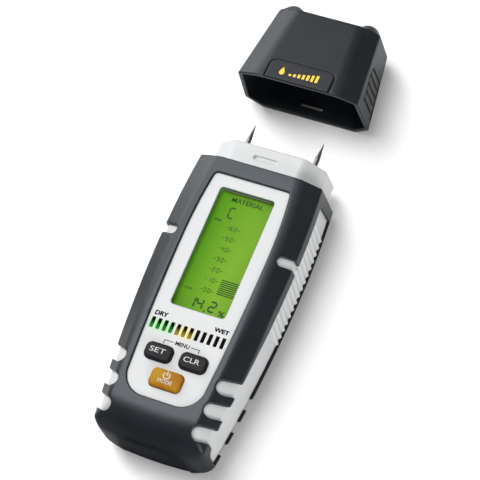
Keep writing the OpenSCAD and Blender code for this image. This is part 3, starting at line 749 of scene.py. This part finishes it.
def head_field(x, y, z):
    shape = both(section_field(x, z, head_corners(0), 1.0), y - HEAD_TIP, 0.9)
    shape = both(shape, HEAD_BACK - y, 0.2)
    end_wall = y - HEAD_TIP + HEAD_END_WALL
    hollow = both(section_field(x, z, head_corners(HEAD_WALL), 0.6), end_wall, 0.4)
    from_pin = np.hypot(np.abs(x) - PIN_X, z - PIN_Z)
    shape = cut(shape, cut(hollow, from_pin - SLEEVE_R, 0.3), 0.2)
    shape = cut(shape, both(from_pin - SOCKET_R, end_wall, 0.05), 0.1)
    shape = cut(shape, from_pin - PIN_HOLE_R, 0.35)
    dimple = np.sqrt((x - DIMPLE_X) ** 2 + (y - CATCH_Y) ** 2 + (z - head_high[2]) ** 2) - DIMPLE_R
    shape = cut(shape, dimple, 0.1)
    catch = plate_field(x, y - CATCH_Y, CATCH_HALF, 0.8, 0.6)
    shape = cut(shape, both(catch, head_high[2] - 0.3 - z, 0.1), 0.35)
    return cut(shape, both(catch, z - head_low[2] - 0.6, 0.1), 0.2)


head = solid("probe_head_moulding", head_field, head_low, head_high, 0.3, 0.45)
place(head, "meter", white_plastic, "case_white", "probe_head")

# ---- Cap ----
CAP_WALL = 1.8
CAP_END_WALL = 2.0
BADGE_HALF = 13.8
BADGE_END = 9.0
BADGE_H = 0.45
LOBE_RISE = 3.5
LOBE_R = 5.2
LOBE_X = 16.6
LOBE_Z0, LOBE_Z1 = 13.5, 20
GRIP_PITCH = 3.6
GRIP_COUNT = 4
CAP_Y = cap_low[1]
CAP_END = cap_high[1] - LOBE_RISE
CATCH_RIB_Y = CAP_Y + CATCH_Y - TOP_Y
GROOVE_FIRST = CAP_Y + 6.0
GROOVE_DEPTH = 0.8
THIN_HALF, WIDE_HALF, UNDER_HALF = 0.36, 0.65, 0.55
CATCH_RIB_HALF = 4.7
MOUTH = dict(front=17.7, side=27.9, top=30.5, high=27.3, low=5.5, back=20.9, bottom=0.0, lean=1.4)
TIP = dict(front=14.0, side=22.9, top=26.7, high=23.3, low=5.5, back=16.9, bottom=1.2, lean=0.5)


def cap_section(y, inset):
    """Section corners of the cap at station y."""
    share = (y - CAP_Y) / (CAP_END - CAP_Y)
    at = {key: MOUTH[key] + (TIP[key] - MOUTH[key]) * share for key in MOUTH}
    return set_in((at["front"], at["top"]), (at["side"] - at["lean"], at["high"]),
                  (at["side"], at["low"]), (at["back"], at["bottom"]), inset)


def cap_form(x, y, z, inset, r=0.8):
    return section_field(x, z, cap_section(y, inset), r)


def cap_outer(x, y, z):
    shape = both(cap_form(x, y, z, 0), y - CAP_END, 1.4)
    lobe_y = CAP_END + LOBE_RISE - LOBE_R
    past_end = np.maximum(np.maximum(z - LOBE_Z1, LOBE_Z0 - z), 0)
    lobe = np.sqrt((np.abs(x) - LOBE_X) ** 2 + (y - lobe_y) ** 2 + past_end ** 2) - LOBE_R
    back_z = cap_section(y, 0)[3][1]
    return either(shape, both(lobe, back_z - z, 0.6), 1.2)


def badge_plan(x, y):
    """The badge's outline in plan."""
    return plate_field(x, y - CAP_Y, BADGE_HALF, BADGE_END, 2.6)


def grooves_field(x, y, z):
    """Side grooves: thin ones between the bars, a wider one round their far end and below them."""
    from_groove = np.abs(row_offset(y - GROOVE_FIRST, GRIP_PITCH, GRIP_COUNT))
    thin = both(from_groove - THIN_HALF, both(z - 22, 9 - z, 0.1), 0.3)
    last = GROOVE_FIRST + GRIP_COUNT * GRIP_PITCH
    wide = both(np.abs(y - last) - WIDE_HALF, both(z - 20.3, 7 - z, 0.1), 0.5)
    under = both(np.abs(z - 7.5) - UNDER_HALF, both(y - last - 0.6, CAP_Y + 3.4 - y, 0.1), 0.5)
    plan = np.minimum(np.minimum(thin, wide), under)
    return both(both(plan, 14 - np.abs(x), 0.1), -cap_form(x, y, z, GROOVE_DEPTH, 0.6), 0.05)


def cap_field(x, y, z):
    hollow = both(cap_form(x, y, z, CAP_WALL), y - CAP_END + CAP_END_WALL, 1.2)
    shape = cut(cap_outer(x, y, z), hollow, 0.35)
    shape = both(shape, CAP_Y - y, 0.35)
    badge_groove = both(np.abs(badge_plan(x, y) - 0.3) - 0.3, -cap_form(x, y, z, 0.4, 0.5), 0.05)
    shape = cut(shape, badge_groove, 0.15)
    shape = cut(shape, grooves_field(x, y, z), 0.15)
    rib = plate_field(x, y - CATCH_RIB_Y, CATCH_RIB_HALF, 0.4, 0.3)
    pair = np.minimum(both(rib, z - 2.4, 0.2), both(rib, RIM_Z - 2.9 - z, 0.2))
    return either(shape, np.maximum(pair, cap_form(x, y, z, 1.0, 0.5)), 0.2)


cap = solid("cap_moulding", cap_field, cap_low, cap_high, 0.34, 0.45)
place(cap, "cap", cap_plastic, "cap_plastic", "cap_shell")


def badge_field(x, y, z):
    """The raised pad on the cap's front, running out at the mouth."""
    shape = both(cap_form(x, y, z, -BADGE_H), badge_plan(x, y), 0.3)
    shape = cut(shape, cap_form(x, y, z, 0.05), 0.02)
    return both(both(shape, CAP_Y + 0.3 - y, 0.2), 25 - z, 0.1)


badge = solid("cap_badge_pad", badge_field, *box_mm("cap_badge"), 0.2, 0.5)
place(badge, "cap", badge_plastic, "cap_print", "cap_badge")


def grips_field(x, y, z):
    """Low bars on the cap's sides between the grooves."""
    from_bar = np.abs(row_offset(y - GROOVE_FIRST - GRIP_PITCH / 2, GRIP_PITCH, GRIP_COUNT))
    ends = both(z - 21.4, 8.6 - z, 0.1)
    bar = both(from_bar - GRIP_PITCH / 2 + 0.5, ends, 0.8)
    shape = both(cap_form(x, y, z, -0.15), bar, 0.1)
    return cut(shape, cap_form(x, y, z, 0.15), 0.02)


grips = solid("cap_grip_bars", grips_field, *box_mm("cap_grips"), 0.24, 0.5)
place(grips, "cap", cap_plastic, "cap_plastic", "cap_grips")


def catch_rib_field(x, y, z):
    """The rib inside the cap's back wall that drops into the probe head's groove."""
    return box_field(x, y, z, (-4.8, CATCH_RIB_Y - 0.5, 1.6), (4.8, CATCH_RIB_Y + 0.5, 2.6), 0.3)


catch_rib = solid("cap_catch_rib", catch_rib_field, (-5, 102, 1), (5, 105, 3), 0.15, 0.5)
place(catch_rib, "cap", pale_grey_plastic, "cap_plastic")

# ---- Keys ----
FLANGE = 0.85
CROWN = 0.22
KEY_CORNERS = {"set_key": 2.3, "clear_key": 2.3, "mode_key": 1.9}


def key_middle(node):
    """The middle and half size of a key's crown."""
    low, high = box_mm(node)
    return (low + high) / 2, (high - low) / 2 - FLANGE


def crown_of(node, x, y):
    """How far a key's crown has dropped at a place."""
    mid, half = key_middle(node)
    return CROWN * (((x - mid[0]) / half[0]) ** 2 + ((y - mid[1]) / half[1]) ** 2)


def key_field(node):
    low, high = box_mm(node)
    mid, half = key_middle(node)
    corner = KEY_CORNERS[node]

    def field(x, y, z):
        dx, dy = x - mid[0], y - mid[1]
        sides = plate_field(dx, dy, half[0], half[1], corner) + (z - high[2]) * 0.02
        cap_part = both(sides, z - high[2] + crown_of(node, x, y), 0.6)
        flange = both(plate_field(dx, dy, half[0] + FLANGE, half[1] + FLANGE, corner + FLANGE),
                      z - low[2] - 0.6, 0.15)
        return both(either(cap_part, flange, 0.2), low[2] - z, 0.1)

    return field, low, high


for node in KEY_CORNERS:
    look = (amber, "key_amber") if node == "mode_key" else (key_rubber, "key_dark")
    place(solid(node + "_cap", *key_field(node), 0.2, 0.6), node.replace("_key", "_button"), *look, node)

# ---- Battery cover ----
THUMB_PITCH = 2.2
THUMB_COUNT = 5
THUMB_HALF = 7


def cover_field(x, y, z):
    plan = both(np.abs(x) - cover_half, y - cover_high[1], 0.7)
    plate = both(both(plan, z - cover_high[2], 0.15), body_field(x, y, z, 0.15), 0.2)
    plate = both(plate, cover_low[1] - y, 0.4)
    lips = box_field(x, y, z, (-cover_high[0], cover_low[1] + 4, 2.15),
                     (cover_high[0], cover_high[1] - 1, cover_high[2]), 0.1)
    shape = np.minimum(plate, lips)
    from_groove = row_offset(cover_high[1] - 7.5 - y, THUMB_PITCH, THUMB_COUNT)
    groove = both(np.hypot(from_groove, (z - cover_low[2]) * 0.8) - 0.6, np.abs(x) - THUMB_HALF, 0.4)
    return cut(shape, groove, 0.2)


cover = solid("battery_cover_moulding", cover_field, cover_low, cover_high, 0.27, 0.45)
place(cover, "battery_door", boot_rubber, "boot_rubber", "battery_cover")

# ---- Outlines in plan ----


def arc(cx, cy, r, start, stop, steps=6):
    angles = np.radians(np.linspace(start, stop, steps + 1))
    return [(cx + r * math.cos(a), cy + r * math.sin(a)) for a in angles]


def rounded_loop(cx, cy, width, length, r, steps=6):
    hx, hy = width / 2 - r, length / 2 - r
    corners = ((hx, -hy, -90), (hx, hy, 0), (-hx, hy, 90), (-hx, -hy, 180))
    return [p for ox, oy, a in corners for p in arc(cx + ox, cy + oy, r, a, a + 90, steps)]


def bar_shape(x0, y0, x1, y1):
    return [(x0, y0), (x1, y0), (x1, y1), (x0, y1)]


def panel_loop():
    bottom_half = float(panel_half(PANEL_BOTTOM + PANEL_R))
    side = arc(bottom_half - PANEL_R, PANEL_BOTTOM + PANEL_R, PANEL_R, -90, 0, 14)
    top_y = PANEL_TOP - PANEL_TOP_R
    side += [(float(panel_half(y)), y) for y in np.linspace(PANEL_BOTTOM + PANEL_R + 2, top_y, 20)]
    side += arc(float(panel_half(top_y)) - PANEL_TOP_R, top_y, PANEL_TOP_R, 0, 90, 5)
    return side + [(-x, y) for x, y in reversed(side)]


PRINT_H = 0.04
WELD = 0.001 * MM


def flat_piece(name, loops, z0, z1, bevel):
    """A plate from an outline and its holes, with rounded upper and lower edges."""
    curve = bpy.data.curves.new(name, "CURVE")
    curve.dimensions = "2D"
    curve.fill_mode = "BOTH"
    curve.extrude = ((z1 - z0) / 2 - bevel) * MM
    curve.bevel_depth = bevel * MM
    curve.bevel_resolution = 2
    curve.offset = -bevel * MM
    for loop in loops:
        spline = curve.splines.new("POLY")
        spline.points.add(len(loop) - 1)
        for point, (x, y) in zip(spline.points, loop):
            point.co = (x * MM, y * MM, 0, 1)
        spline.use_cyclic_u = True
    return mesh_from(curve, name, Matrix.Translation((0, 0, (z0 + z1) / 2 * MM)))


def mesh_from(curve, name, matrix):
    """The mesh of a curve or text, moved into place."""
    source = add_object(name + "_source", curve)
    depsgraph = bpy.context.evaluated_depsgraph_get()
    mesh = bpy.data.meshes.new_from_object(source.evaluated_get(depsgraph))
    bpy.data.objects.remove(source)
    mesh.name = name
    mesh.transform(matrix)
    work = bmesh.new()
    work.from_mesh(mesh)
    bmesh.ops.remove_doubles(work, verts=work.verts, dist=WELD)
    bmesh.ops.recalc_face_normals(work, faces=work.faces)
    work.to_mesh(mesh)
    work.free()
    return add_object(name, mesh)


def prisms(name, polygons, z, height=PRINT_H):
    """Flat shapes of one height joined into one piece."""
    points, faces = [], []
    for polygon in polygons:
        n, base = len(polygon), len(points)
        points += [(x, y, z) for x, y in polygon] + [(x, y, z + height) for x, y in polygon]
        faces += [list(range(base + n - 1, base - 1, -1)), list(range(base + n, base + 2 * n))]
        faces += [[base + i, base + (i + 1) % n, base + n + (i + 1) % n, base + n + i] for i in range(n)]
    mesh = bpy.data.meshes.new(name)
    mesh.from_pydata([(x * MM, y * MM, h * MM) for x, y, h in points], [], faces)
    mesh.update()
    return add_object(name, mesh)


# ---- Panel ----
KEY_GAP = 0.25
display_w = window_high[0] - window_low[0] - 1.7
display_l = window_high[1] - window_low[1] - 1.7
display_x = (window_high[0] + window_low[0]) / 2
display_y = (window_high[1] + window_low[1]) / 2
bars_low, bars_high = box_mm("green_bars")[0], box_mm("red_bars")[1]
BAR_COUNT = 12
BAR_W = 1.15
bar_pitch = (bars_high[0] - bars_low[0] - BAR_W) / (BAR_COUNT - 1)
bar_y = (bars_low[1] + bars_high[1]) / 2
bar_l = bars_high[1] - bars_low[1]
PANEL_UNDER = 27.3

panel_loops = [panel_loop(), rounded_loop(display_x, display_y, display_w, display_l, 1.6)]
for i in range(BAR_COUNT):
    bar_x = bars_low[0] + BAR_W / 2 + i * bar_pitch
    panel_loops.append(rounded_loop(bar_x, bar_y, BAR_W + 0.3, bar_l + 0.3, 0.3, 3))
for node, corner in KEY_CORNERS.items():
    mid, half = key_middle(node)
    size = 2 * (half + KEY_GAP)
    panel_loops.append(rounded_loop(mid[0], mid[1], size[0], size[1], corner + KEY_GAP, 8))
panel = flat_piece("front_panel", panel_loops, PANEL_UNDER, PANEL_Z, 0.18)
place(panel, "meter", panel_plastic, "case_white", "front_shell")

# The rim's green is painted backlight and shadow on the window's recess wall.
rim_outer = rounded_loop(display_x, display_y, display_w - 0.06, display_l - 0.06, 1.55)
rim_inner = rounded_loop(display_x, display_y, display_w - 0.5, display_l - 0.5, 1.3)
rim = flat_piece("display_rim", [rim_outer, rim_inner], window_high[2] + 0.02, PANEL_Z - 0.25, 0.06)
place(rim, "meter", backlit_rim_paint, "window")
# A black bar along the display's top edge: painted shadow that the window's top wall casts into the recess.
shade_top = display_y + display_l / 2 - 0.3
shade_left, shade_right = display_x - display_w / 2 + 1.4, display_x + display_w / 2 - 1.2
shade = bar_shape(shade_left, shade_top - 0.65, shade_right, shade_top)
top_painted_shadow = prisms("display_top_painted_shadow", [shade], window_high[2] + 0.02, 0.6)
place(top_painted_shadow, "meter", black_plastic, "black_plastic")

# ---- Print and display segments ----


def lettering(name, text, width, height, centre, z, material, slot, body="meter", bold=0.0):
    """Flat lettering scaled to a width and height."""
    curve = bpy.data.curves.new(name, "FONT")
    curve.body = text
    curve.align_x = "LEFT"
    curve.extrude = 0.5
    curve.offset = bold
    obj = mesh_from(curve, name, Matrix.Identity(4))
    points = points_of(obj)
    low, high = points.min(0), points.max(0)
    scale = np.array([width, height, PRINT_H]) / (high - low)
    target = np.array([centre[0], centre[1], z + PRINT_H / 2])
    move_points(obj, (points - (low + high) / 2) * scale + target)
    return place(obj, body, material, slot)


def stroke(points, width):
    """Separate upright and level strokes along a bent line."""
    half = width / 2
    return [bar_shape(min(x0, x1) - half, min(y0, y1) - half, max(x0, x1) + half, max(y0, y1) + half)
            for (x0, y0), (x1, y1) in zip(points, points[1:])]


SEGMENTS = {"0": "abcdef", "1": "bc", "2": "abged", "3": "abgcd", "4": "fgbc", "5": "afgcd", "6": "afgedc",
            "C": "afed"}


def digit(char, x, y, width, height, t):
    """The lit segments of one digit, with its lower left corner at x, y."""
    gap, half = 0.08, height / 2
    ends = {
        "a": ((t, height - t / 2), (width - t, height - t / 2)), "g": ((t, half), (width - t, half)),
        "d": ((t, t / 2), (width - t, t / 2)), "f": ((t / 2, half + t / 2), (t / 2, height - t)),
        "b": ((width - t / 2, half + t / 2), (width - t / 2, height - t)),
        "e": ((t / 2, t), (t / 2, half - t / 2)), "c": ((width - t / 2, t), (width - t / 2, half - t / 2))}
    shapes = []
    for key in SEGMENTS[char]:
        (x0, y0), (x1, y1) = ends[key]
        run = math.hypot(x1 - x0, y1 - y0)
        ux, uy = (x1 - x0) / run, (y1 - y0) / run
        nx, ny = -uy * t / 2, ux * t / 2
        a, b = gap, run - gap
        hexagon = [(a - t / 2, 0), (a, -1), (b, -1), (b + t / 2, 0), (b, 1), (a, 1)]
        shapes.append([(x + x0 + ux * s + nx * k, y + y0 + uy * s + ny * k) for s, k in hexagon])
    return shapes


ink_z = box_mm("lcd_glass")[1][2] + 0.01
lcd = []
for char, x in (("1", -6.4), ("4", -2.9), ("2", 2.6)):
    lcd += digit(char, x, -3.2, 3.3, 4.9, 0.7)
lcd += digit("C", -5.5, 36.5, 2.9, 5.0, 0.6)
lcd.append(bar_shape(1.3, -3.5, 1.95, -2.9))
STRIPES = 8
STRIPE_PITCH = 0.86
for i in range(STRIPES):
    y = 4.9 + i * STRIPE_PITCH
    lcd.append(bar_shape(3.5, y, 10.7, y + 0.42))
SCALE_MARKS = 7
SCALE_PITCH = 4.57
for i in range(SCALE_MARKS):
    y = 5.3 + i * SCALE_PITCH
    lcd += digit(str(i), -2.25, y - 1.0, 1.25, 2.0, 0.3)
    lcd += digit("0", -0.45, y - 1.0, 1.25, 2.0, 0.3)
    lcd += [bar_shape(-3.5, y - 0.13, -2.7, y + 0.13), bar_shape(1.3, y - 0.13, 2.1, y + 0.13)]
segments = prisms("display_segments", lcd, ink_z)
place(segments, "meter", segment_ink, "lcd")
for name, text, width, height, centre, bold in (
        ("display_material", "MATERIAL", 13.6, 2.0, (0.5, 44.8), 0.01),
        ("display_percent", "%", 2.8, 2.5, (8.8, -2.5), 0.02),
        ("display_max", "max", 3.2, 1.0, (-8.3, 34.9), 0.01),
        ("display_min", "min", 3.2, 1.0, (-8.1, 4.2), 0.01)):
    lettering(name, text, width, height, centre, ink_z, segment_ink, "lcd", bold=bold)

for name, text, width, height, centre, bold in (
        ("print_dry", "DRY", 5.6, 1.95, (-12.9, -10.2), 0.045),
        ("print_wet", "WET", 6.4, 1.85, (12.8, -9.8), 0.045),
        ("print_menu", "MENU", 6.0, 1.6, (0.2, -19.9), 0.025)):
    lettering(name, text, width, height, centre, PANEL_Z, print_dark, "black_plastic", bold=bold)
LINE_W = 0.26
brackets = stroke([(-7.4, -21.4), (-7.4, -19.9), (-3.7, -19.9)], LINE_W)
brackets += stroke([(4.0, -19.9), (7.6, -19.9), (7.6, -21.3)], LINE_W)
place(prisms("print_brackets", brackets, PANEL_Z), "meter", print_dark, "black_plastic")


def key_print(node, text, width, height, shift, name):
    """White lettering on a key's crown, shifted from the key's centre."""
    centre = key_middle(node)[0][:2] + shift
    body = node.replace("_key", "_button")
    drape(lettering(name, text, width, height, centre, 0, print_white, "plunger", body), node)


def drape(obj, node):
    """Bends a flat print onto the key's crown."""
    points = points_of(obj)
    crown = crown_of(node, points[:, 0], points[:, 1])
    points[:, 2] += box_mm(node)[1][2] - crown - 0.01 - points[:, 2].min()
    move_points(obj, points)


key_print("set_key", "SET", 6.6, 2.1, (-0.3, 0.3), "print_set")
key_print("clear_key", "CLR", 6.8, 2.1, (-0.5, 0.3), "print_clear")
key_print("mode_key", "MODE", 6.1, 1.55, (0.2, -1.2), "print_mode")
mode_x, mode_y = key_middle("mode_key")[0][:2]
power_y = mode_y + 1.3
RING_STEPS = 24
ring = arc(mode_x, power_y, 1.5, 125, 415, RING_STEPS)
inner_ring = arc(mode_x, power_y, 1.12, 125, 415, RING_STEPS)
power = [[ring[i], ring[i + 1], inner_ring[i + 1], inner_ring[i]] for i in range(RING_STEPS)]
power.append(bar_shape(mode_x - 0.19, power_y + 0.1, mode_x + 0.19, power_y + 1.9))
power_sign = prisms("print_power", power, 0)
drape(power_sign, "mode_key")
place(power_sign, "mode_button", print_white, "plunger")


def badge_pictogram():
    """A drop and a rising scale, in yellow, on the cap's badge."""
    mid_y = CAP_Y + 4.6
    angles = np.linspace(0, 2 * math.pi, 29)[:-1]
    shapes = [[(-7.6 + 1.55 * math.sin(a) * math.sin(a / 2) ** 1.5, mid_y - 0.2 + 1.9 * math.cos(a))
               for a in angles]]
    for i in range(7):
        x = -4.4 + i * 1.9
        shapes.append(bar_shape(x, mid_y - 1.7, x + 1.1, mid_y - 0.8 + 0.42 * i))
    obj = prisms("print_pictogram", shapes, 0)
    points = points_of(obj)
    slope = (TIP["top"] - MOUTH["top"]) / (CAP_END - CAP_Y)
    points[:, 2] += MOUTH["top"] + BADGE_H + slope * (points[:, 1] - CAP_Y) - 0.01
    move_points(obj, points)
    place(obj, "cap", print_yellow, "cap_print")


badge_pictogram()

# ---- CAD nodes that stay ----
NODE_MATERIALS = (
    (white_plastic, "back_shell lcd_frame"), (grey_gasket, "case_gasket zebra_strips"),
    (pin_steel, "probe_pin_left probe_pin_right"), (brass, "pin_sockets socket_nuts socket_springs"),
    (clear_window, "display_window"), (display_cell, "lcd_glass"), (backlight_glow, "lcd_backlight"),
    (bar_green, "green_bars"), (bar_yellow, "yellow_bars"), (bar_dark, "red_bars"),
    (black_plastic, "bar_baffle controller_chip analog_chips buzzer switch_bodies battery_snap black_lead"),
    (clear_led, "indicator_leds"), (board_mask, "main_board"), (capacitor_body, "board_capacitors"),
    (screw_steel, "board_screws case_screws"), (cream_plastic, "set_plunger clear_plunger mode_plunger"),
    (battery_skin, "battery"), (nickel, "battery_terminals"), (red_wire, "red_lead"), (foam, "cover_pad"),
    (foil, "rating_plate"))
SOFT_EDGES = {
    "display_window": 0.15, "green_bars": 0.12, "yellow_bars": 0.12, "red_bars": 0.12, "battery": 0.5,
    "battery_snap": 0.4, "controller_chip": 0.1, "analog_chips": 0.1, "buzzer": 0.2, "lcd_frame": 0.15,
    "switch_bodies": 0.15, "battery_terminals": 0.15, "cover_pad": 0.1, "rating_plate": 0.08,
    "main_board": 0.1, "socket_nuts": 0.15}


def finish_node(node, material):
    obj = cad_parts[node]
    obj.data.materials.clear()
    obj.data.materials.append(material)
    if node in SOFT_EDGES:
        edge = obj.modifiers.new("edge", "BEVEL")
        edge.width = SOFT_EDGES[node] * MM
        edge.segments = 2
        edge.limit_method = "ANGLE"
        edge.angle_limit = math.radians(40)


for material, cad_nodes in NODE_MATERIALS:
    for node in cad_nodes.split():
        finish_node(node, material)

# ---- Studio ----


def make_floor():
    material, nodes, links, shader = tree_of("studio_floor")
    coords = nodes.new("ShaderNodeTexCoord")
    grain = noise_of(nodes, links, coords, 0.02, 2.0)
    colour = ramp_of(nodes, links, grain, grey(0.93), grey(0.95))
    links.new(colour, shader.inputs["Base Color"])
    shader.inputs["Roughness"].default_value = 0.7
    mesh = bpy.data.meshes.new("studio_floor")
    mesh.from_pydata([(-4, -4, 0), (4, -4, 0), (4, 4, 0), (-4, 4, 0)], [], [(0, 1, 2, 3)])
    mesh.materials.append(material)
    add_object("studio_floor", mesh)


def area_light(name, place_at, aim, size, power):
    data = bpy.data.lights.new(name, "AREA")
    data.shape = "RECTANGLE"
    data.size, data.size_y = size
    data.energy = power
    light = add_object(name, data)
    light.location = place_at
    light.rotation_mode = "QUATERNION"
    light.rotation_quaternion = (Vector(aim) - Vector(place_at)).to_track_quat("-Z", "Y")


def make_world():
    world = bpy.data.worlds.new("studio")
    bpy.context.scene.world = world
    world.use_nodes = True
    back = world.node_tree.nodes["Background"]
    back.inputs["Color"].default_value = (1, 1, 1, 1)
    back.inputs["Strength"].default_value = 0.3


def make_camera():
    """The photograph's viewing angle: a long lens, rolled so that the meter leans to the left."""
    azimuth, elevation, roll = math.radians(45.67), math.radians(62.49), math.radians(-25.48)
    target, distance = Vector((-0.0009, 0.0337, 0.015)), 0.958
    back = Vector((math.sin(azimuth) * math.cos(elevation), -math.cos(azimuth) * math.cos(elevation),
                   math.sin(elevation)))
    data = bpy.data.cameras.new("camera")
    data.lens = 180
    data.sensor_width = 36
    data.clip_start, data.clip_end = 0.05, 20
    camera = add_object("camera", data)
    camera.location = target + back * distance
    level = (-back).to_track_quat("-Z", "Y").to_matrix()
    camera.rotation_euler = (level @ Matrix.Rotation(roll, 3, "Z")).to_euler()
    bpy.context.scene.camera = camera


make_floor()
make_world()
area_light("key_overhead", (-0.43, 0.3, 1.2), (0, 0.03, 0), (0.62, 0.95), 14.5)
area_light("left_strip", (-0.78, 0.6, 0.42), (0, 0.08, 0.01), (0.6, 0.4), 6)
area_light("side_fill", (0.7, -0.72, 0.35), (0, 0.03, 0.01), (0.5, 0.3), 7)
make_camera()
bpy.context.scene.view_settings.view_transform = "Standard"
